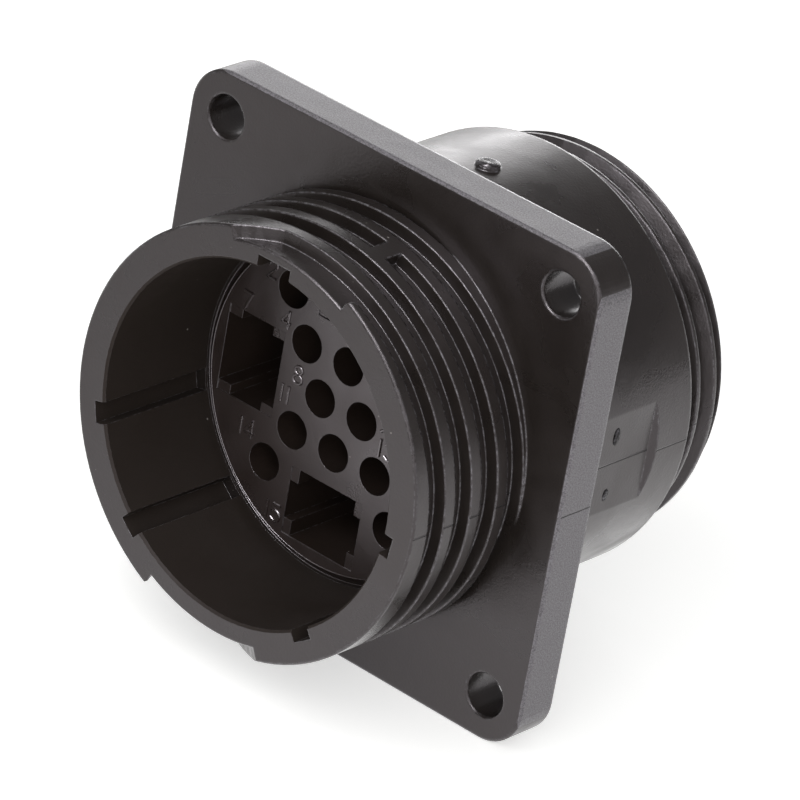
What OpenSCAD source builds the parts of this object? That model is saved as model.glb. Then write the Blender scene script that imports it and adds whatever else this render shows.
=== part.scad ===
// Circular panel mount connector housing: a moulded shell and the contact insert in it.
// The shell has a square flange, a keyed front cup with a two-start quick coupling thread,
// a plain rear barrel and a rear clamp thread. The insert has open cavities for the contacts.
// Millimetres. The axis lies along Y with the mating end towards -Y and +Z up.
// The origin is on the axis, in the flange face that bears on the panel.

/* [Flange] */
// Width across the square flange
flange_w = 44.45; // [40:0.05:52]
// Thickness of the flange
flange_t = 3.9; // [2.5:0.1:6]
// Bevel round the front edge of the flange
flange_edge = 0.2; // [0.1:0.05:1]
// Distance from the flange sides to the panel screws, and radius of the corners round them
bolt_inset = 3.97; // [3:0.01:4.6]
// Diameter of the panel screw holes
bolt_hole_d = 3.75; // [2.5:0.05:4.5]
// Bevel at the front of each screw hole
bolt_bevel = 0.15; // [0.05:0.05:0.4]

/* [Cup] */
// Inner diameter of the cup at its mouth
cup_d = 30.7; // [29.8:0.1:34]
// Narrowing of the cup from mouth to floor, on the diameter
cup_taper = 0.1; // [0:0.05:1]
// Bevel inside the mouth
mouth_bevel = 0.2; // [0.1:0.05:0.5]
// Depth of the cup from the rim to the insert face
cup_depth = 11.68; // [8:0.02:13]
// Drop of the bevelled margin round the insert face
margin_drop = 0.58; // [0.2:0.02:1]
// Width of that bevelled margin
margin_w = 0.75; // [0.4:0.05:1.5]
// Flat ring of the shell between the insert and the cup wall
ledge_w = 0.25; // [0.1:0.05:0.4]
// Clearance between the insert and the shell
insert_gap = 0.03; // [0.02:0.01:0.1]
// Depth of the keyways in the cup wall
key_depth = 1; // [0.5:0.05:1.3]
// Height of the keyways' floors above the ledge
key_floor = 0.2; // [0.1:0.05:1]
// Width of the main keyway, at the top
main_key_w = 3.45; // [2.5:0.05:5]
// Width of the minor keyways
minor_key_w = 1.9; // [1.2:0.05:2.5]
// Angles of the minor keyways, seen from the mating end
minor_key_angles = [195, 230, 304.5, 354]; // [0:0.5:360]

/* [Coupling thread] */
// Wall between the cup and the thread root
cup_wall = 1.8; // [1.5:0.05:2.5]
// Length of the threaded nose in front of the flange
nose_len = 13.4; // [12:0.05:18]
// Depth of the thread
thread_depth = 1.1; // [0.6:0.05:1.5]
// Distance between neighbouring ridges
thread_pitch = 3.175; // [2.8:0.005:4]
// Number of thread starts
thread_starts = 2; // [1:1:3]
// Width of the ridge crests
crest_w = 1.25; // [0.8:0.05:1.5]
// Axial run of each flank
flank_run = 0.12; // [0.05:0.01:0.3]
// Bevel on the front edge of the nose
nose_bevel = 0.15; // [0.1:0.05:0.5]
// Bevel on the rim where an entry is open
entry_bevel = 0.15; // [0.1:0.05:0.6]
// Width of the rim where the entry closes
rim_band = 0.7; // [0.4:0.05:1]
// Radius of the outer corner where that band ends
band_end_r = 0.5; // [0.2:0.05:0.8]
// Angle at which the first entry closes
entry_angle = 62.5; // [0:0.5:180]
// Angle over which an entry is open to the front
entry_span = 44; // [25:0.5:60]
// Part of the entry over which its rear wall rises to the rim
ramp_span = 13; // [5:0.5:20]
// Turn from the closed entry to the detent rib across the groove
detent_turn = 347.5; // [250:0.5:450]
// Angle covered by the detent rib
detent_span = 5; // [3:0.5:10]

/* [Contacts] */
// Distance between neighbouring round cavities
contact_pitch = 4.6; // [4.3:0.05:4.9]
// Front diameter of the round cavities
contact_d = 3.26; // [2:0.02:3.6]
// Rear diameter of the round cavities
contact_rear_d = 3.7; // [2.2:0.05:4]
// Length of the narrow front part of the round cavities
contact_front_len = 6; // [2:0.1:12]
// Side of the square power cavities
power_w = 6.18; // [4.5:0.02:6.6]
// Length over the two tabs of a power cavity
power_over_tabs = 7.84; // [7.2:0.02:8.6]
// Width of the tabs
power_tab_w = 3.45; // [2:0.05:4.4]
// Depth of the shallow step at the corners of a power cavity
power_step = 0.1; // [0.05:0.05:0.5]
// Distance of the power cavities from the axis
power_offset = 10.05; // [9.6:0.05:10.4]

/* [Rear barrel] */
// Step from the thread crest up to the barrel
barrel_step = 0.55; // [0.2:0.05:1]
// Length of the barrel behind the flange
barrel_len = 16.45; // [12:0.05:24]
// Depth of the flat on one side
flat_depth = 0.53; // [0.2:0.01:1]
// Length of the flat from the flange
flat_len = 11.9; // [6:0.1:12]
// Slope of the end of the flat, along the axis
flat_run_out = 0.5; // [0.1:0.1:1]
// Diameter of the button on top
button_d = 2.1; // [1:0.1:4]
// Height of the button
button_h = 0.3; // [0.1:0.05:1]
// Distance of the button from the flange
button_at = 8; // [4:0.1:11]

/* [Rear thread] */
// Length of the threaded end behind the barrel
rear_len = 6.7; // [5:0.1:10]
// Step down from the barrel to the thread crest
rear_step = 1.38; // [0.8:0.02:2]
// Depth of the rear thread
rear_depth = 1.25; // [0.8:0.05:1.3]
// Pitch of the rear thread
rear_pitch = 2.117; // [1.8:0.001:2.6]
// Flat at the bottom of the rear thread
rear_root_w = 0.3; // [0.25:0.05:0.5]
// Angle at which a crest passes the right side, as a share of the pitch
rear_phase = 0.35; // [0:0.05:1]
// Length of the relief groove behind the barrel
rear_relief = 1.1; // [0.6:0.1:2]
// Bevel at the end of the rear thread
rear_bevel = 0.9; // [0.4:0.05:1.1]
// Wall between the rear thread root and the rear recess
rear_wall = 1.55; // [1:0.05:2.2]
// Depth of the rear recess
recess_depth = 6.5; // [3:0.1:10]

/* [Hidden] */
$fa = 4;
$fs = 0.35;

bolt_spacing = flange_w - 2 * bolt_inset;
cup_r = cup_d / 2;
root_r = cup_r + cup_wall;
crest_r = root_r + thread_depth;
rim_z = flange_t + nose_len;
face_z = rim_z - cup_depth;
ledge_z = face_z - margin_drop;
floor_r = cup_r - cup_taper / 2;
insert_r = floor_r - ledge_w - insert_gap;
face_r = insert_r - margin_w;
lead = thread_pitch * thread_starts;
groove_w = thread_pitch - crest_w;
root_w = groove_w - 2 * flank_run;
draft = flank_run / thread_depth;
// Turn over which the end of the rim band is rounded off below
band_turn = rim_band / crest_r * 180 / PI;
barrel_r = crest_r + barrel_step;
rear_crest_r = barrel_r - rear_step;
rear_root_r = rear_crest_r - rear_depth;
recess_r = rear_root_r - rear_wall;
rear_z = -barrel_len - rear_len;
seat_z = rear_z + recess_depth;
row_h = contact_pitch * sqrt(3) / 2;
// Rows of round cavities: place of the row, then places along it
contact_rows = [[2, [-1.5, 1.5]], [1, [-1, 0, 1]], [0, [-0.5, 0.5]],
                [-1, [-1, 0, 1]], [-2, [-1.5, 1.5]]];
// Overlap of solids that are fused, and overrun of cuts
lap = 0.3;
over = 1;
// Turn between neighbouring sections of a thread
turn_step = 9;

// Height of the middle of a coupling groove, a degrees on from the closed entry
function groove_z(a) = rim_z - rim_band - groove_w / 2 + lead * a / 360;
// Sections of a coupling groove: angle, lower edge, upper edge
function groove_sections() =
    let (deep = -360 * (nose_len - rim_band + lap) / lead,
         n = ceil(-deep / turn_step),
         open = entry_span - ramp_span,
         top = rim_z + over)
    concat(
        [for (i = [n : -1 : 0]) let (a = deep * i / n)
            [a, groove_z(a) - root_w / 2, groove_z(a) + root_w / 2]],
        [for (i = [1 : 3]) let (a = band_turn * sin(24 * i))
            [a, groove_z(a) - root_w / 2, rim_z - flank_run - rim_band * cos(24 * i)]],
        [for (i = [0 : 4]) let (a = band_turn + (open - band_turn) * i / 4)
            [a, groove_z(a) - root_w / 2, top]],
        [for (i = [1 : 4]) let (k = i / 4, low = groove_z(open) - root_w / 2)
            [open + ramp_span * k, low + (rim_z + 0.2 - low) * k, top + k]]);
// Sections of the rear thread groove, from the end up to the relief
function rear_sections() =
    let (w = rear_root_w, turns = (rear_len + rear_pitch) / rear_pitch, n = ceil(360 * turns / turn_step))
    [for (i = [0 : n]) let (a = 360 * turns * i / n,
                            z = rear_z + rear_pitch * (rear_phase - 1 + a / 360))
        [a, z - w / 2, z + w / 2]];

// Cutter for a helical groove: one four-cornered section per angle
module sweep(sections, r0, r_in, r_out, slope) {
    n = len(sections);
    points = [for (s = sections, c = [[r_in, 0], [r_out, 0], [r_out, 1], [r_in, 1]])
        [c[0] * cos(s[0]), c[0] * sin(s[0]),
         c[1] == 0 ? s[1] - (c[0] - r0) * slope : s[2] + (c[0] - r0) * slope]];
    sides = [for (i = [0 : n - 2], j = [0 : 3])
        let (a = 4 * i + j, b = 4 * i + (j + 1) % 4)
        each [[a, b, b + 4], [a, b + 4, a + 4]]];
    ends = [[0, 3, 2], [0, 2, 1], [4 * n - 4, 4 * n - 3, 4 * n - 2], [4 * n - 4, 4 * n - 2, 4 * n - 1]];
    polyhedron(points, concat(sides, ends), convexity = 10);
}

// Ring sector between two radii and two heights, centred on an angle
module sector(r0, r1, z0, z1, mid, span) {
    rotate([0, 0, mid - span / 2])
        rotate_extrude(angle = span)
            polygon([[r0, z0], [r1, z0], [r1, z1], [r0, z1]]);
}

// Square plate with round corners and a bevelled front edge
module flange_plate() {
    s = flange_w / 2 - bolt_inset;
    for (q = [0, 90])
        rotate([90, 0, q])
            linear_extrude(2 * s, center = true)
                polygon([[-flange_w / 2, 0], [flange_w / 2, 0], [flange_w / 2, flange_t - flange_edge],
                         [flange_w / 2 - flange_edge, flange_t], [flange_edge - flange_w / 2, flange_t],
                         [-flange_w / 2, flange_t - flange_edge]]);
    for (x = [-s, s], y = [-s, s])
        translate([x, y, 0])
            rotate_extrude()
                polygon([[0, 0], [bolt_inset, 0], [bolt_inset, flange_t - flange_edge],
                         [bolt_inset - flange_edge, flange_t], [0, flange_t]]);
}

// Cutter that rounds the outer corner at the end of the rim band
module band_end() {
    rotate([0, 0, band_turn])
        translate([crest_r - band_end_r, -band_end_r, rim_z - rim_band - groove_w / 2])
            difference() {
                cube([band_end_r + over, band_end_r + lap, rim_band + groove_w / 2 + over]);
                translate([0, 0, -over])
                    cylinder(h = rim_band + groove_w / 2 + 3 * over, r = band_end_r);
            }
}

// Ring that carries the ridges, with the grooves, entries and detents
module coupling_ridges() {
    inner = root_r - entry_bevel - lap;
    difference() {
        rotate_extrude()
            polygon([[inner, flange_t - 2 * lap], [crest_r, flange_t - 2 * lap],
                     [crest_r, rim_z - nose_bevel], [crest_r - nose_bevel, rim_z], [inner, rim_z]]);
        for (k = [0 : thread_starts - 1])
            rotate([0, 0, entry_angle + k * 360 / thread_starts]) {
                difference() {
                    sweep(groove_sections(), root_r, inner - lap, crest_r + over, draft);
                    sector(inner - over, crest_r + 2 * over, groove_z(-detent_turn) - groove_w,
                           groove_z(-detent_turn) + groove_w, -detent_turn, detent_span);
                }
                band_end();
            }
    }
}

// Threaded end behind the barrel
module rear_thread() {
    difference() {
        rotate_extrude()
            polygon([[rear_root_r - 2 * lap, rear_z], [rear_crest_r - rear_bevel, rear_z],
                     [rear_crest_r, rear_z + rear_bevel], [rear_crest_r, -barrel_len - rear_relief],
                     [rear_root_r, -barrel_len - rear_relief + rear_depth * tan(30)],
                     [rear_root_r - 2 * lap, -barrel_len - rear_relief + rear_depth * tan(30)]]);
        sweep(rear_sections(), rear_root_r, rear_root_r - rear_root_w / 2, rear_crest_r + over, tan(30));
    }
}

// Solid outer form, before the cup, cavities and recess are cut
module outer_form() {
    flange_plate();
    // nose and its ridges
    rotate_extrude()
        polygon([[0, -lap], [root_r, -lap], [root_r, rim_z - entry_bevel],
                 [root_r - entry_bevel, rim_z], [0, rim_z]]);
    coupling_ridges();
    // barrel with its flat
    difference() {
        translate([0, 0, -barrel_len]) cylinder(h = barrel_len + lap, r = barrel_r);
        rotate([90, 0, 0])
            linear_extrude(barrel_r, center = true)
                polygon([[barrel_r - flat_depth, 0], [barrel_r + over, 0],
                         [barrel_r + over, -flat_len - flat_run_out * over / flat_depth - flat_run_out],
                         [barrel_r - flat_depth, -flat_len]]);
    }
    translate([0, 0, -button_at])
        rotate([-90, 0, 0]) cylinder(h = barrel_r + button_h, d = button_d);
    // core under the rear thread
    translate([0, 0, rear_z])
        cylinder(h = rear_len + lap, r = rear_root_r);
    rear_thread();
}

// Space inside the cup, with its keyways
module cup_space() {
    rotate_extrude()
        polygon([[0, ledge_z], [floor_r, ledge_z], [cup_r, rim_z - mouth_bevel],
                 [cup_r + mouth_bevel, rim_z], [cup_r + mouth_bevel + over, rim_z + over],
                 [0, rim_z + over]]);
    keyway(90, main_key_w);
    for (a = minor_key_angles) keyway(a, minor_key_w);
}

// One keyway in the cup wall
module keyway(a, w) {
    rotate([0, 0, a])
        translate([floor_r - 2 * lap, -w / 2, ledge_z + key_floor])
            cube([cup_r + key_depth - floor_r + 2 * lap, w, rim_z - ledge_z - key_floor + over]);
}

// Stepped round cavity through the insert
module contact_cavity() {
    translate([0, 0, seat_z - over])
        cylinder(h = face_z - contact_front_len - seat_z + over, d = contact_rear_d);
    translate([0, 0, face_z - contact_front_len - lap])
        cylinder(h = contact_front_len + lap + over, d = contact_d);
}

// Square power cavity with a tab on two sides
module power_cavity() {
    translate([0, 0, seat_z - over])
        linear_extrude(face_z - seat_z + 2 * over) {
            square(power_w, center = true);
            square([power_tab_w, power_over_tabs], center = true);
        }
    translate([-power_w / 2, -power_over_tabs / 2, face_z - power_step])
        cube([power_w, power_over_tabs, power_step + over]);
}

// Outer moulding
module shell() {
    color("#26262a")
        rotate([90, 0, 0])
            difference() {
                outer_form();
                cup_space();
                // seat of the insert, and the recess behind it
                translate([0, 0, seat_z])
                    cylinder(h = ledge_z - seat_z + over, r = insert_r + insert_gap);
                translate([0, 0, rear_z - over]) cylinder(h = recess_depth + 2 * over, r = recess_r);
                for (a = [45 : 90 : 315])
                    rotate([0, 0, a]) translate([bolt_spacing / sqrt(2), 0, 0]) {
                        translate([0, 0, -over]) cylinder(h = flange_t + 2 * over, d = bolt_hole_d);
                        translate([0, 0, flange_t - bolt_bevel])
                            cylinder(h = 2 * bolt_bevel, d1 = bolt_hole_d,
                                     d2 = bolt_hole_d + 4 * bolt_bevel);
                    }
            }
}

// Contact carrier, seated on the shoulder at the bottom of the shell
module insert() {
    color("#2b2728")
        rotate([90, 0, 0])
            difference() {
                rotate_extrude()
                    polygon([[0, seat_z], [insert_r, seat_z], [insert_r, ledge_z],
                             [face_r, face_z], [0, face_z]]);
                for (row = contact_rows, x = row[1])
                    translate([x * contact_pitch, row[0] * row_h, 0]) contact_cavity();
                for (a = [0 : 90 : 270])
                    rotate([0, 0, a]) translate([power_offset, 0, 0]) power_cavity();
            }
}

shell();
insert();
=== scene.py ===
import math
import bpy
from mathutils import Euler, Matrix, Quaternion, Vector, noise


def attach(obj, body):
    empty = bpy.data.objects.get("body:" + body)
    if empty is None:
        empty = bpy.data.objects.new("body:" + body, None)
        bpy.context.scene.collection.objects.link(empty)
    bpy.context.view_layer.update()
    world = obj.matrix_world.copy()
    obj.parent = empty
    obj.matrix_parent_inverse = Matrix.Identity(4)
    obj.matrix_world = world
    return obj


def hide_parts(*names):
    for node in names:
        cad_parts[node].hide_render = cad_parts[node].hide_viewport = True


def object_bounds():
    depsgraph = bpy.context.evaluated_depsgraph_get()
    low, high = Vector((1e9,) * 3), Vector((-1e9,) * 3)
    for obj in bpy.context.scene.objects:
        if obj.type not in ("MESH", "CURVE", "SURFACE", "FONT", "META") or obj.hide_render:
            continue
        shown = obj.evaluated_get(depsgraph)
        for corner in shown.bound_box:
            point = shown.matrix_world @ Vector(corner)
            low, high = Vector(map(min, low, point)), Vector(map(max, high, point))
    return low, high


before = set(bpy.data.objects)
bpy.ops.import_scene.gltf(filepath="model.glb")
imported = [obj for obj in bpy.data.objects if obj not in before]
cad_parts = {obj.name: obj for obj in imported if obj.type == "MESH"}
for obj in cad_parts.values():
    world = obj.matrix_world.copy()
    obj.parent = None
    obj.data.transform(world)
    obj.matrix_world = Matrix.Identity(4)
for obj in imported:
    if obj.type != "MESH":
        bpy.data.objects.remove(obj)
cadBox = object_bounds()
scene = bpy.context.scene
scene.view_settings.view_transform = "Standard"
mm = 0.001
fullTurn = 2 * math.pi
floatA, floatB, colourA, colourB = 2, 3, 6, 7  # the Mix node's inputs
mixedFloat, mixedColour = 0, 2  # and its outputs
print("frame loaded:", sorted(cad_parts))


def fromHex(code):  # sRGB hex to linear colour
    parts = [int(code[i:i + 2], 16) / 255 for i in (1, 3, 5)]
    return [c / 12.92 if c <= 0.04045 else ((c + 0.055) / 1.055) ** 2.4 for c in parts] + [1]


def addNode(tree, kind, settings=None, links=None):  # one node, its settings and what feeds it
    node = tree.nodes.new("ShaderNode" + kind)
    for name, value in (settings or {}).items():
        if isinstance(name, str) and hasattr(node, name):
            setattr(node, name, value)
        else:
            node.inputs[name].default_value = value
    for name, source in (links or {}).items():
        tree.links.new(source, node.inputs[name])
    return node


def freshTree(owner):  # empty node tree of a material or world
    owner.use_nodes = True
    owner.node_tree.nodes.clear()
    return owner.node_tree


def addPiece(name, verts, faces, material, smooth=True):  # mesh piece in mm that rides on the part
    mesh = bpy.data.meshes.new(name)
    mesh.from_pydata([Vector(v) * mm for v in verts], [], faces)
    for polygon in mesh.polygons:
        polygon.use_smooth = smooth
    mesh.materials.append(material)
    mesh.update()
    piece = bpy.data.objects.new(name, mesh)
    scene.collection.objects.link(piece)
    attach(piece, "root")


# camera at the photograph's place: a long lens, slightly rolled
viewpoint = {"place": (287.889, -377.603, 234.159), "turn": (63.34728, -9.20681, 41.76896),
             "lens": 291.3665, "sensor": 36, "nearMm": 20}
camData = bpy.data.cameras.new("camera")
camData.lens = viewpoint["lens"]
camData.sensor_width = viewpoint["sensor"]
camData.clip_start = viewpoint["nearMm"] * mm
camera = bpy.data.objects.new("camera", camData)
camera.location = Vector(viewpoint["place"]) * mm
camera.rotation_euler = Euler([math.radians(a) for a in viewpoint["turn"]], "XYZ")
scene.collection.objects.link(camera)
scene.camera = camera
print("camera set")

# nylon, injection moulded: satin black with a spark-eroded skin, faint flow clouds and shrink waves,
# edges rounded by the mould with pale wear and a painted highlight on them, a painted sheen on the flange's
# outer sides, and a fine witness line where the mould halves met, with painted shade along it
shellLook = {
    "colour": "#1f1b19", "cloud": "#26211e", "cloudMm": 7,
    "ior": 1.5, "gloss": 0.5, "sheenTint": "#fff7fe",
    "roughness": 0.31, "roughSpread": 0.2, "roughBand": (0.3, 0.7),
    "skinMm": 0.22, "skinDepthMm": 0.018,  # coarser than real spark erosion, so that it shows
    "waveMm": 2.6, "waveDepthMm": 0.03,
    "edgeMm": 0.3, "edgeAtMm": 18, "cupEdgeMm": 0.03, "cupEdgeAtMm": 15.2,  # radius by distance from the axis
    "flangeEdgeMm": 0.3, "flangeFromMm": 19.6,
    "edgeSamples": 12, "edgeTurn": (0.995, 0.9), "edgeRoughness": 0.2,
    # one pale colour for wear with a painted highlight on the edges, and for the painted sheen on the flange's
    # sides
    "wearAndSheen": "#96949a", "wearAndSheenMm": 0.5, "wearAndSheenBand": (0.42, 0.9),
    "paintedSideSheen": 0.62, "paintedSideSheenMm": 0.13, "paintedSideSheenBand": (0.2, 0.8),  # painted sheen, mottled, on the outer sides of the flange
    "sideFromMm": 22.0, "sideRoughness": 0.42,
    "dust": "#8f8a86", "dustMm": 2.4, "dustSpeck": (0.045, 0.02), "dustShare": 0.55,
    # near-black witness line: painted shade along a fine sunk line
    "seamWithShade": "#0b0a0a", "seamMm": 0.09, "seamCore": 0.3, "seamDepth": 3.0, "seamFromMm": 16.4, "seamSlope": 0.3}
insertLook = dict(shellLook, colour="#261f1c", cloud="#2c2421", roughness=0.34, ior=1.7, skinMm=0.18,
                  edgeMm=0.06, cupEdgeMm=0.06, seamMm=0)  # sharper edges, more sheen and no witness line
paintedLightCoreLook = dict(insertLook, colour="#29211d", cloud="#29211d", roughness=0.6, gloss=0.03)  # flat and low in gloss, with a tone a little lighter than the insert: painted fill light on the cavity walls
# the cup's walls, in a lighter, matt copy of the shell's nylon: painted fill light
paintedLightCupLook = dict(paintedLightCoreLook, colour="#2a2420", cloud="#2a2420", gloss=0.08)
tornLook = dict(shellLook, colour="#0f0d0c", cloud="#171412", roughness=0.55, gloss=0.15, skinDepthMm=0.05,
                seamMm=0)  # rough and black where the gate broke
ridgeLook = dict(insertLook, roughness=0.27, gloss=0.8, edgeMm=0, cupEdgeMm=0)  # cut with a polished tool


def mouldedNylon(name, look):
    mat = bpy.data.materials.new(name)
    tree = freshTree(mat)
    place = addNode(tree, "TexCoord").outputs["Object"]
    skin = addNode(tree, "TexNoise", {"Scale": 1 / (look["skinMm"] * mm), "Detail": 3, "Roughness": 0.6},
                   {"Vector": place})
    cloud = addNode(tree, "TexNoise", {"Scale": 1 / (look["cloudMm"] * mm), "Detail": 4, "Distortion": 0.6},
                    {"Vector": place})
    patch = addNode(tree, "TexNoise", {"Scale": 1 / (look["wearAndSheenMm"] * mm), "Detail": 4, "Roughness": 0.7},
                    {"Vector": place})
    # where a point is: out from the middle plane, off the parting plane, and from the axis
    axes = addNode(tree, "SeparateXYZ", links={0: place})
    out = addNode(tree, "Math", {"operation": "ABSOLUTE"}, {0: axes.outputs["X"]})
    off = addNode(tree, "Math", {"operation": "ABSOLUTE"}, {0: axes.outputs["Z"]})
    far = addNode(tree, "Math", {"operation": "MAXIMUM"}, {0: out.outputs[0], 1: off.outputs[0]})
    onFlange = addNode(tree, "Math", {"operation": "GREATER_THAN", 1: look["flangeFromMm"] * mm},
                       {0: far.outputs[0]})
    onSide = addNode(tree, "Math", {"operation": "GREATER_THAN", 1: look["sideFromMm"] * mm},
                     {0: far.outputs[0]})
    across = addNode(tree, "VectorMath", {"operation": "MULTIPLY", 1: (1, 0, 1)}, {0: place})
    fromAxis = addNode(tree, "VectorMath", {"operation": "LENGTH"}, {0: across.outputs["Vector"]})
    # rounded edges, and a mask that is 1 on them
    onThread = addNode(tree, "MapRange",
                       {"From Min": look["cupEdgeAtMm"] * mm, "From Max": look["edgeAtMm"] * mm,
                        "To Min": look["cupEdgeMm"] * mm, "To Max": look["edgeMm"] * mm},
                       {"Value": fromAxis.outputs["Value"]})
    radius = addNode(tree, "Mix", {floatB: look["flangeEdgeMm"] * mm},
                     {0: onFlange.outputs[0], floatA: onThread.outputs[0]})
    edge = addNode(tree, "Bevel", {"samples": look["edgeSamples"]}, {"Radius": radius.outputs[mixedFloat]})
    flat = addNode(tree, "NewGeometry")
    along = addNode(tree, "VectorMath", {"operation": "DOT_PRODUCT"},
                    {0: edge.outputs["Normal"], 1: flat.outputs["Normal"]})
    onEdge = addNode(tree, "MapRange", {"From Min": look["edgeTurn"][0], "From Max": look["edgeTurn"][1]},
                     {"Value": along.outputs["Value"]})
    # pale wear on the edges, partly a painted highlight there, and a painted sheen all over the sides of the
    # flange
    patchyWearAndSheen = addNode(tree, "MapRange", {"From Min": look["wearAndSheenBand"][0], "From Max": look["wearAndSheenBand"][1]},
                   {"Value": patch.outputs["Fac"]})
    wearAndSheen = addNode(tree, "Math", {"operation": "MULTIPLY"}, {0: onEdge.outputs[0], 1: patchyWearAndSheen.outputs[0]})
    sideSheenGrit = addNode(tree, "TexNoise", {"Scale": 1 / (look["paintedSideSheenMm"] * mm), "Detail": 2}, {"Vector": place})
    paintedSideSheenLevel = addNode(tree, "MapRange", {"From Min": look["paintedSideSheenBand"][0], "From Max": look["paintedSideSheenBand"][1],
                                      "To Max": look["paintedSideSheen"]}, {"Value": sideSheenGrit.outputs["Fac"]})
    paleWearAndSheen = addNode(tree, "Math", {"operation": "MULTIPLY_ADD"},
                     {0: paintedSideSheenLevel.outputs[0], 1: onSide.outputs[0], 2: wearAndSheen.outputs[0]})
    # sparse dust, one speck in some of the cells
    cell = addNode(tree, "TexVoronoi", {"Scale": 1 / (look["dustMm"] * mm)}, {"Vector": place})
    speck = addNode(tree, "MapRange", {"From Min": look["dustSpeck"][0], "From Max": look["dustSpeck"][1]},
                    {"Value": cell.outputs["Distance"]})
    few = addNode(tree, "Math", {"operation": "GREATER_THAN", 1: look["dustShare"]},
                  {0: cell.outputs["Color"]})
    dust = addNode(tree, "Math", {"operation": "MULTIPLY"}, {0: speck.outputs[0], 1: few.outputs[0]})
    tone = addNode(tree, "Mix", {"data_type": "RGBA", colourA: fromHex(look["colour"]),
                                 colourB: fromHex(look["cloud"])}, {0: cloud.outputs["Fac"]})
    # paler on the edges, for wear and a painted highlight, and on the flange's sides, a painted sheen
    toneWithWearAndSheen = addNode(tree, "Mix", {"data_type": "RGBA", colourB: fromHex(look["wearAndSheen"])},
                      {0: paleWearAndSheen.outputs[0], colourA: tone.outputs[mixedColour]})
    dusted = addNode(tree, "Mix", {"data_type": "RGBA", colourB: fromHex(look["dust"])},
                     {0: dust.outputs[0], colourA: toneWithWearAndSheen.outputs[mixedColour]})
    height = skin.outputs["Fac"]
    colour = dusted.outputs[mixedColour]
    if look["seamMm"]:  # witness line on the outside, in the plane between the mould halves, sunk a little and painted near-black: painted shade along it
        facing = addNode(tree, "SeparateXYZ", links={0: flat.outputs["Normal"]})
        turned = addNode(tree, "Math", {"operation": "ABSOLUTE"}, {0: facing.outputs["Y"]})
        line = addNode(tree, "MapRange", {"From Min": look["seamMm"] * mm,
                                          "From Max": look["seamMm"] * mm * look["seamCore"]},
                       {"Value": off.outputs[0]})
        outside = addNode(tree, "Math", {"operation": "GREATER_THAN", 1: look["seamFromMm"] * mm},
                          {0: out.outputs[0]})
        sideways = addNode(tree, "Math", {"operation": "LESS_THAN", 1: look["seamSlope"]},
                           {0: turned.outputs[0]})
        both = addNode(tree, "Math", {"operation": "MULTIPLY"},
                       {0: outside.outputs[0], 1: sideways.outputs[0]})
        seamWithShade = addNode(tree, "Math", {"operation": "MULTIPLY"}, {0: line.outputs[0], 1: both.outputs[0]})
        sunk = addNode(tree, "Math", {"operation": "MULTIPLY_ADD", 1: -look["seamDepth"]},
                       {0: seamWithShade.outputs[0], 2: height})
        # painted shade along the witness line
        paintedSeamShade = addNode(tree, "Mix", {"data_type": "RGBA", colourB: fromHex(look["seamWithShade"])},
                       {0: seamWithShade.outputs[0], colourA: colour})
        height = sunk.outputs[0]
        colour = paintedSeamShade.outputs[mixedColour]
    satin = addNode(tree, "MapRange",
                    {"From Min": look["roughBand"][0], "From Max": look["roughBand"][1],
                     "To Min": look["roughness"] - look["roughSpread"] / 2,
                     "To Max": look["roughness"] + look["roughSpread"] / 2}, {"Value": cloud.outputs["Fac"]})
    matt = addNode(tree, "Mix", {floatB: look["sideRoughness"]},
                   {0: onSide.outputs[0], floatA: satin.outputs[0]})
    rough = addNode(tree, "Mix", {floatB: look["edgeRoughness"]},
                    {0: onEdge.outputs[0], floatA: matt.outputs[mixedFloat]})
    swell = addNode(tree, "TexNoise", {"Scale": 1 / (look["waveMm"] * mm), "Detail": 1}, {"Vector": place})
    waves = addNode(tree, "Bump", {"Strength": 1.0, "Distance": look["waveDepthMm"] * mm},
                    {"Height": swell.outputs["Fac"], "Normal": edge.outputs["Normal"]})
    bump = addNode(tree, "Bump", {"Strength": 1.0, "Distance": look["skinDepthMm"] * mm},
                   {"Height": height, "Normal": waves.outputs["Normal"]})
    shader = addNode(tree, "BsdfPrincipled",
                     {"IOR": look["ior"], "Specular IOR Level": look["gloss"],
                      "Specular Tint": fromHex(look["sheenTint"])},
                     {"Base Color": colour, "Roughness": rough.outputs[mixedFloat],
                      "Normal": bump.outputs["Normal"]})
    addNode(tree, "OutputMaterial", links={"Surface": shader.outputs["BSDF"]})
    return mat


nylonShell = mouldedNylon("nylonMouldedShell", shellLook)
nylonInsert = mouldedNylon("nylonMouldedInsert", insertLook)
cavityPaintedLightNylon = mouldedNylon("nylonMouldedCavityPaintedLight", paintedLightCoreLook)  # walls drawn by long core pins, in a lighter tone: painted fill light
cupPaintedLightNylon = mouldedNylon("nylonMouldedCupPaintedLight", paintedLightCupLook)
nylonTorn = mouldedNylon("nylonTornGate", tornLook)
nylonNumerals = mouldedNylon("nylonMouldedNumerals", ridgeLook)
print("materials set")

# stand-ins for the CAD nodes: the same shape, with turned and threaded surfaces shaded round
dressing = {"sameRadiusMm": 0.06, "turnedSlope": 0.98, "widestTurn": math.radians(14),
            "threadFromMm": 14, "threadToMm": 19, "flankSlope": 0.3, "flatSlope": 0.9999,
            "noseY": -3.85, "rampSlope": 0.8,  # ramps at the thread's entries
            "cavityY": -4.9, "cupY": -4.5, "cupMm": 16.6, "wallSlope": 0.9}


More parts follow.
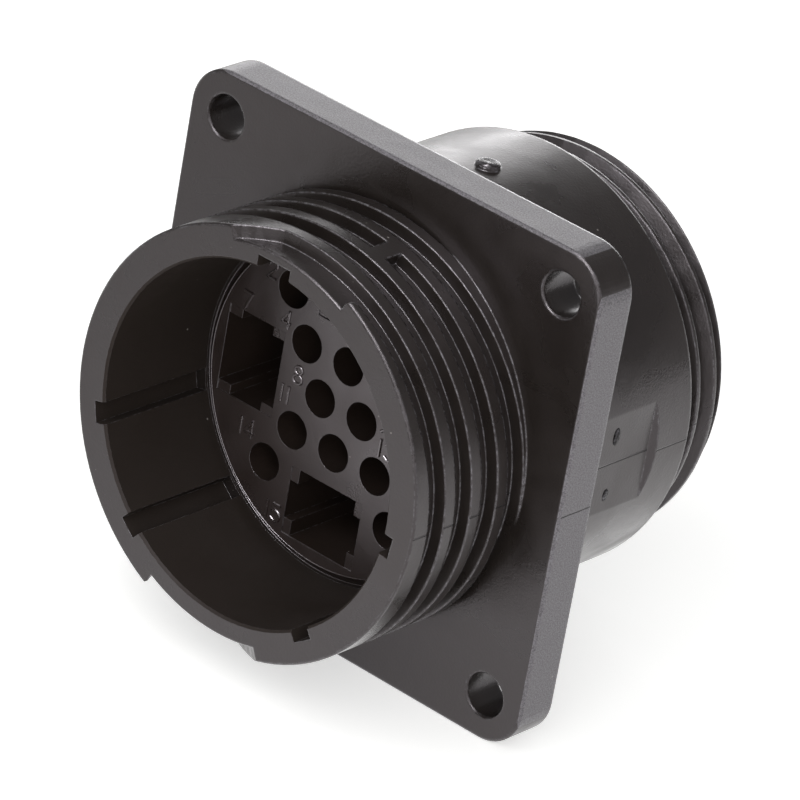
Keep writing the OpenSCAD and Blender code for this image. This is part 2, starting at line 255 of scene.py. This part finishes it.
def roundNormals(mesh):  # corner normals that turn about the axis with the surface
    normals = []
    for face in mesh.polygons:
        corners = [mesh.vertices[k].co for k in face.vertices]
        radii = [math.hypot(c.x, c.z) for c in corners]
        first = math.atan2(corners[0].z, corners[0].x)
        turns = [first + (math.atan2(c.z, c.x) - first + math.pi) % fullTurn - math.pi for c in corners]
        middle = (min(turns) + max(turns)) / 2
        n = face.normal
        radial = n.x * math.cos(middle) + n.z * math.sin(middle)
        along = n.z * math.cos(middle) - n.x * math.sin(middle)
        narrow = max(turns) - min(turns) < dressing["widestTurn"]
        sameRadius = max(radii) - min(radii) < dressing["sameRadiusMm"] * mm
        turned = sameRadius and abs(radial) > dressing["turnedSlope"]
        inBand = dressing["threadFromMm"] * mm < min(radii) and max(radii) < dressing["threadToMm"] * mm
        onNose = max(c.y for c in corners) < dressing["noseY"] * mm
        ramped = onNose and abs(along) < dressing["rampSlope"]
        flank = abs(n.y) < dressing["flatSlope"] and (abs(n.y) > dressing["flankSlope"] or ramped)
        for turn in turns:
            if narrow and (turned or inBand and flank):
                normals.append((radial * math.cos(turn) - along * math.sin(turn), n.y,
                                radial * math.sin(turn) + along * math.cos(turn)))
            else:
                normals.append(tuple(n))
    mesh.shade_smooth()
    mesh.normals_split_custom_set(normals)


def isDeep(name, face):  # walls of the cup in the shell, walls of the cavities in the insert
    if abs(face.normal.y) > dressing["wallSlope"]:
        return False
    if name == "insert":
        return face.center.y > dressing["cavityY"] * mm
    fromAxis = math.hypot(face.center.x, face.center.z)
    return face.center.y < dressing["cupY"] * mm and fromAxis < dressing["cupMm"] * mm


# deep walls of the cup and the cavities take the lighter copies, a painted fill light
for name, materials in (("shell", [nylonShell, cupPaintedLightNylon]), ("insert", [nylonInsert, cavityPaintedLightNylon])):
    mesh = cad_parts[name].data.copy()
    mesh.name = name + "Moulding"
    roundNormals(mesh)
    mesh.materials.clear()
    for material in materials:
        mesh.materials.append(material)
    for face in mesh.polygons:
        face.material_index = int(isDeep(name, face))
    piece = bpy.data.objects.new(mesh.name, mesh)
    scene.collection.objects.link(piece)
    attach(piece, "root")
    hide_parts(name)
print("mouldings dressed")

# contact numbers, raised on the insert face in flat strokes with steep sides
numerals = {"faceY": -5.62, "tall": 1.5, "gap": 0.4, "wide": 0.6, "oneWide": 0.2,
            "stroke": 0.12, "bevel": 0.05, "slope": 0.03, "lift": 0.13, "sink": 0.02, "endShare": 0.8,
            "places": {1: (-5.2, 11.3), 2: (-9.3, 8.7), 3: (9.3, 8.7), 4: (-7.05, 5.16), 5: (0, 6.45),
                       6: (7.05, 5.16), 7: (-11.4, 4.95), 8: (-4.9, 0.98), 9: (4.8, 0.9), 10: (11.4, 5.3),
                       11: (-5.96, -1.19), 13: (5.3, -1.3), 14: (-9.3, -5.87), 15: (-5.14, -11.76),
                       16: (9.3, -5.87)}}
digitStrokes = {  # width 0.6 and height 1
    "0": [[(0.3, 1), (0.08, 0.85), (0, 0.5), (0.08, 0.15), (0.3, 0), (0.52, 0.15), (0.6, 0.5), (0.52, 0.85),
           (0.3, 1)]],
    "1": [[(0.3, 1), (0.3, 0)]],
    "2": [[(0, 0.75), (0.1, 0.95), (0.3, 1), (0.52, 0.93), (0.58, 0.72), (0.45, 0.5), (0.2, 0.25), (0, 0)],
          [(0, 0), (0.6, 0)]],
    "3": [[(0.02, 0.85), (0.2, 1), (0.42, 0.99), (0.56, 0.82), (0.48, 0.6), (0.25, 0.53), (0.48, 0.48),
           (0.6, 0.27), (0.5, 0.06), (0.25, 0), (0, 0.14)]],
    "4": [[(0.45, 0), (0.45, 1)], [(0.45, 1), (0, 0.3)], [(0, 0.3), (0.6, 0.3)]],
    "5": [[(0.55, 1), (0.08, 1)], [(0.08, 1), (0.04, 0.55)],
          [(0.04, 0.55), (0.25, 0.63), (0.5, 0.55), (0.6, 0.32), (0.5, 0.08), (0.25, 0), (0, 0.12)]],
    "6": [[(0.5, 1), (0.22, 0.75), (0.03, 0.4), (0.08, 0.12), (0.3, 0), (0.53, 0.1), (0.6, 0.3), (0.5, 0.52),
           (0.3, 0.58), (0.1, 0.48), (0.03, 0.35)]],
    "7": [[(0, 1), (0.6, 1)], [(0.6, 1), (0.2, 0)]],
    "8": [[(0.3, 0.54), (0.1, 0.64), (0.06, 0.84), (0.2, 0.99), (0.4, 0.99), (0.54, 0.84), (0.5, 0.64),
           (0.3, 0.54), (0.05, 0.4), (0, 0.18), (0.15, 0.01), (0.45, 0.01), (0.6, 0.18), (0.55, 0.4),
           (0.3, 0.54)]],
    "9": [[(0.1, 0), (0.38, 0.25), (0.57, 0.6), (0.52, 0.88), (0.3, 1), (0.07, 0.9), (0, 0.7), (0.1, 0.48),
           (0.3, 0.42), (0.5, 0.52), (0.57, 0.65)]]}


def roundedPath(points, steps=4):  # smooth curve through the points of a stroke
    p = [Vector(q) for q in points]
    if len(p) < 3:
        return p
    p = [p[0] * 2 - p[1]] + p + [p[-1] * 2 - p[-2]]
    path = []
    for i in range(1, len(p) - 2):
        line = p[i + 1] - p[i - 1]
        bend = 2 * p[i - 1] - 5 * p[i] + 4 * p[i + 1] - p[i + 2]
        twist = 3 * p[i] - p[i - 1] - 3 * p[i + 1] + p[i + 2]
        for k in range(steps):
            t = k / steps
            path.append(0.5 * (2 * p[i] + line * t + bend * t * t + twist * t ** 3))
    return path + [p[-2]]


def addStroke(verts, faces, path):  # flat-topped ridge along a path of (x, z)
    base = len(verts)
    half, bevel, lift = numerals["stroke"] / 2, numerals["bevel"], numerals["lift"]
    foot, sink = half + bevel + numerals["slope"], numerals["sink"]
    profile = ((-foot, sink), (-half - bevel, bevel - lift), (-half, -lift),
               (half, -lift), (half + bevel, bevel - lift), (foot, sink))
    count = len(profile)
    last = len(path) - 1
    for i, point in enumerate(path):
        ahead = (path[min(i + 1, last)] - path[max(i - 1, 0)]).normalized()
        across = Vector((-ahead.y, ahead.x))
        end = half * numerals["endShare"] * ((i == last) - (i == 0))  # stroke ends reach a little further
        for side, rise in profile:
            q = point + ahead * end + across * side
            verts.append((q.x, numerals["faceY"] + rise, q.y))
    for i in range(last):
        for k in range(count):
            a, b = base + count * i + k, base + count * i + (k + 1) % count
            faces.append((a, a + count, b + count, b))
    faces.append(tuple(base + k for k in range(count)))
    faces.append(tuple(base + count * last + k for k in reversed(range(count))))


verts, faces = [], []
tall = numerals["tall"]
for number, (u, v) in numerals["places"].items():
    digits = str(number)
    widths = [numerals["oneWide"] if d == "1" else numerals["wide"] for d in digits]
    x = u - (sum(widths) * tall + numerals["gap"] * (len(digits) - 1)) / 2
    for digit, width in zip(digits, widths):
        shift = (width - numerals["wide"]) / 2
        for stroke in digitStrokes[digit]:
            path = [Vector((x + (q.x + shift) * tall, v + (q.y - 0.5) * tall)) for q in roundedPath(stroke)]
            addStroke(verts, faces, path)
        x += width * tall + numerals["gap"]
addPiece("contactNumbers", verts, faces, nylonNumerals, smooth=False)
print("contact numbers made")

# fine raised lips at the insert's edge, where the mould's ring closed
lips = {"radii": (14.27, 15.0), "y": (-5.6, -5.06), "half": 0.075, "spokes": 180, "sides": 8}
verts, faces = [], []
for radius, y in zip(lips["radii"], lips["y"]):
    base = len(verts)
    for s in range(lips["spokes"]):
        a = fullTurn * s / lips["spokes"]
        for k in range(lips["sides"]):
            b = fullTurn * k / lips["sides"]
            r = radius + lips["half"] * math.cos(b)
            verts.append((r * math.cos(a), y + lips["half"] * math.sin(b), r * math.sin(a)))
    for s in range(lips["spokes"]):
        here = base + s * lips["sides"]
        there = base + (s + 1) % lips["spokes"] * lips["sides"]
        for k in range(lips["sides"]):
            after = (k + 1) % lips["sides"]
            faces.append((here + k, here + after, there + after, there + k))
addPiece("insertLips", verts, faces, nylonNumerals)
print("insert lips made")


def addMound(verts, faces, rings, spokes, pointAt):  # closed low mound, pointAt(0 middle to 1 rim, angle)
    base = len(verts)
    for r in range(1, rings + 1):
        for s in range(spokes):
            verts.append(pointAt(r / rings, fullTurn * s / spokes))
    middle = len(verts)
    verts.append(pointAt(0, 0))
    for s in range(spokes):
        after = (s + 1) % spokes
        faces.append((middle, base + s, base + after))
        for r in range(rings - 1):
            a, b = base + r * spokes + s, base + r * spokes + after
            faces.append((a, a + spokes, b + spokes, b))
    faces.append(tuple(base + (rings - 1) * spokes + s for s in reversed(range(spokes))))  # flat underside


# gate scars on the barrel's flat, where the sprue was twisted off
gates = {"flatX": 18.27, "y": 7.3, "sink": 0.01, "rings": 6, "spokes": 28,
         "bumps": 3, "bumpMm": 0.06, "lobes": 2, "lobeShare": 0.08, "lobeSeed": 5,
         "spots": ({"z": 2.46, "long": 0.85, "short": 0.42, "lift": 0.12},
                   {"z": -2.91, "long": 0.6, "short": 0.4, "lift": 0.06})}


def scarPoint(spot, t, a):
    across, up = math.cos(a), math.sin(a)
    bumps, lobes = gates["bumps"], gates["lobes"]
    bump = noise.noise(Vector((across * t * bumps, up * t * bumps, spot["z"])))
    lobe = noise.noise(Vector((across * lobes, up * lobes, spot["z"] + gates["lobeSeed"])))
    size = t * (1 + gates["lobeShare"] * lobe)
    rise = (spot["lift"] + gates["bumpMm"] * bump) * (1 - t ** 4)
    return (gates["flatX"] - gates["sink"] + rise, gates["y"] + spot["short"] * size * across,
            spot["z"] + spot["long"] * size * up)


verts, faces = [], []
for spot in gates["spots"]:
    addMound(verts, faces, gates["rings"], gates["spokes"], lambda t, a: scarPoint(spot, t, a))
addPiece("gateScars", verts, faces, nylonTorn)

# rough crater on the button, left by the ejector
button = {"y": 8.0, "top": 19.1, "radius": 1.0, "rings": 8, "spokes": 36, "clear": 0.004, "sink": 0.02,
          "bumpMm": 0.07, "bumpsPerMm": 3.1, "bumpSeed": 2, "lipMm": 0.05, "lipAt": 0.86, "lipWide": 0.09}


def craterPoint(t, a):
    x = button["radius"] * t * math.cos(a)
    y = button["y"] + button["radius"] * t * math.sin(a)
    per = button["bumpsPerMm"]
    bump = button["bumpMm"] * max(0, noise.noise(Vector((x * per, y * per, button["bumpSeed"])))) * (1 - t)
    lip = button["lipMm"] * math.exp(-((t - button["lipAt"]) / button["lipWide"]) ** 2)
    rim = button["sink"] if t == 1 else 0
    return x, y, button["top"] + button["clear"] + bump + lip - rim


verts, faces = [], []
addMound(verts, faces, button["rings"], button["spokes"], craterPoint)
addPiece("buttonTop", verts, faces, nylonShell)
print("moulding marks made")

# white paper sweep, lit by the lamps, so that it keeps a soft shadow, and glowing as well, a painted light: to
# the eye the glow rises from 0.55 near the part to full white far out; its painted reflection in the plastic
# fades to the left and the front, as if the sheet ended there
paper = {"colour": "#f2f2f0", "halfMm": 3000, "leftMm": (75, 12), "leftFade": 0.38,
         "frontMm": (220, 90), "frontFade": 0.15, "direct": 0.55, "whiteMm": (150, 600)}
lowZ = cadBox[0].z
half = paper["halfMm"] * mm
floorMesh = bpy.data.meshes.new("floor")
floorMesh.from_pydata([(-half, -half, lowZ), (half, -half, lowZ), (half, half, lowZ), (-half, half, lowZ)],
                      [], [(0, 1, 2, 3)])
floor = bpy.data.objects.new("floor", floorMesh)
scene.collection.objects.link(floor)
floorMat = bpy.data.materials.new("paperSweepGlowing")
tree = freshTree(floorMat)
rays = addNode(tree, "LightPath")
ground = addNode(tree, "TexCoord").outputs["Object"]
axes = addNode(tree, "SeparateXYZ", links={0: ground})
left = addNode(tree, "MapRange", {"From Min": -paper["leftMm"][0] * mm, "From Max": -paper["leftMm"][1] * mm,
                                  "To Min": paper["leftFade"], "To Max": 1}, {"Value": axes.outputs["X"]})
front = addNode(tree, "MapRange", {"From Min": -paper["frontMm"][0] * mm,
                                   "From Max": -paper["frontMm"][1] * mm,
                                   "To Min": paper["frontFade"], "To Max": 1}, {"Value": axes.outputs["Y"]})
level = addNode(tree, "Math", {"operation": "MULTIPLY"}, {0: left.outputs[0], 1: front.outputs[0]})
paintedReflectionLevel = addNode(tree, "Math", {"operation": "MULTIPLY"},
                 {0: level.outputs[0], 1: rays.outputs["Is Glossy Ray"]})
away = addNode(tree, "VectorMath", {"operation": "LENGTH"}, {0: ground})
white = addNode(tree, "MapRange", {"From Min": paper["whiteMm"][0] * mm, "From Max": paper["whiteMm"][1] * mm,
                                   "To Min": paper["direct"], "To Max": 1}, {"Value": away.outputs["Value"]})
eyeRay = addNode(tree, "Math", {"operation": "MAXIMUM"},
                 {0: rays.outputs["Is Camera Ray"], 1: rays.outputs["Is Transmission Ray"]})
direct = addNode(tree, "Math", {"operation": "MULTIPLY"}, {0: eyeRay.outputs[0], 1: white.outputs[0]})
seen = addNode(tree, "Math", {"operation": "MAXIMUM"}, {0: direct.outputs[0], 1: paintedReflectionLevel.outputs[0]})
paintedGlow = addNode(tree, "Emission", {"Color": (1, 1, 1, 1)}, {"Strength": seen.outputs[0]})
sheet = addNode(tree, "BsdfDiffuse", {"Color": fromHex(paper["colour"])})
whole = addNode(tree, "AddShader", links={0: sheet.outputs[0], 1: paintedGlow.outputs[0]})
addNode(tree, "OutputMaterial", links={"Surface": whole.outputs[0]})
floorMesh.materials.append(floorMat)
print("floor laid")

# soft studio light: large panels, and white surroundings that the gloss sees as grey
panels = {"backPanel": {"place": (-382, 445, 213), "size": (500, 245), "roll": 36, "watts": 0.85},
          "lowBackPanel": {"place": (-300, 520, 100), "size": (500, 160), "watts": 0.9},
          "rightPanel": {"place": (560, 60, 160), "size": (400, 400), "watts": 0.3},
          "topPanel": {"place": (60, -60, 600), "size": (500, 500), "watts": 0.5},
          "glintPanel": {"place": (60, -411, 482), "size": (420, 160), "roll": -17, "watts": 5,
                         "glossOnly": True},  # draws the fine lines on the thread's crests
          "frontPanel": {"place": (339, -445, 276), "size": (600, 600), "watts": 2.8},
          "leftPanel": {"place": (-120, -260, 300), "size": (300, 300), "watts": 0.6}}
for name, panel in panels.items():
    lamp = bpy.data.lights.new(name, "AREA")
    lamp.shape = "RECTANGLE"
    lamp.size, lamp.size_y = panel["size"][0] * mm, panel["size"][1] * mm
    lamp.energy = panel["watts"]
    holder = bpy.data.objects.new(name, lamp)
    holder.location = Vector(panel["place"]) * mm
    aim = (-holder.location).to_track_quat("-Z", "Y")
    holder.rotation_euler = (aim @ Quaternion((0, 0, 1), math.radians(panel.get("roll", 0)))).to_euler()
    holder.visible_diffuse = not panel.get("glossOnly", False)
    scene.collection.objects.link(holder)

studio = {"fill": 0.08, "mirrored": 0.24}
world = bpy.data.worlds.new("studio")
scene.world = world
tree = freshTree(world)
rays = addNode(tree, "LightPath")
eyeRay = addNode(tree, "Math", {"operation": "MAXIMUM"},
                 {0: rays.outputs["Is Camera Ray"], 1: rays.outputs["Is Transmission Ray"]})
mirrored = addNode(tree, "Math", {"operation": "MULTIPLY_ADD", 1: studio["mirrored"], 2: studio["fill"]},
                   {0: rays.outputs["Is Glossy Ray"]})
strength = addNode(tree, "Math", {"operation": "MAXIMUM"}, {0: eyeRay.outputs[0], 1: mirrored.outputs[0]})
sky = addNode(tree, "Background", {"Color": (1, 1, 1, 1)}, {"Strength": strength.outputs[0]})
addNode(tree, "OutputWorld", links={"Surface": sky.outputs[0]})
print("light set")
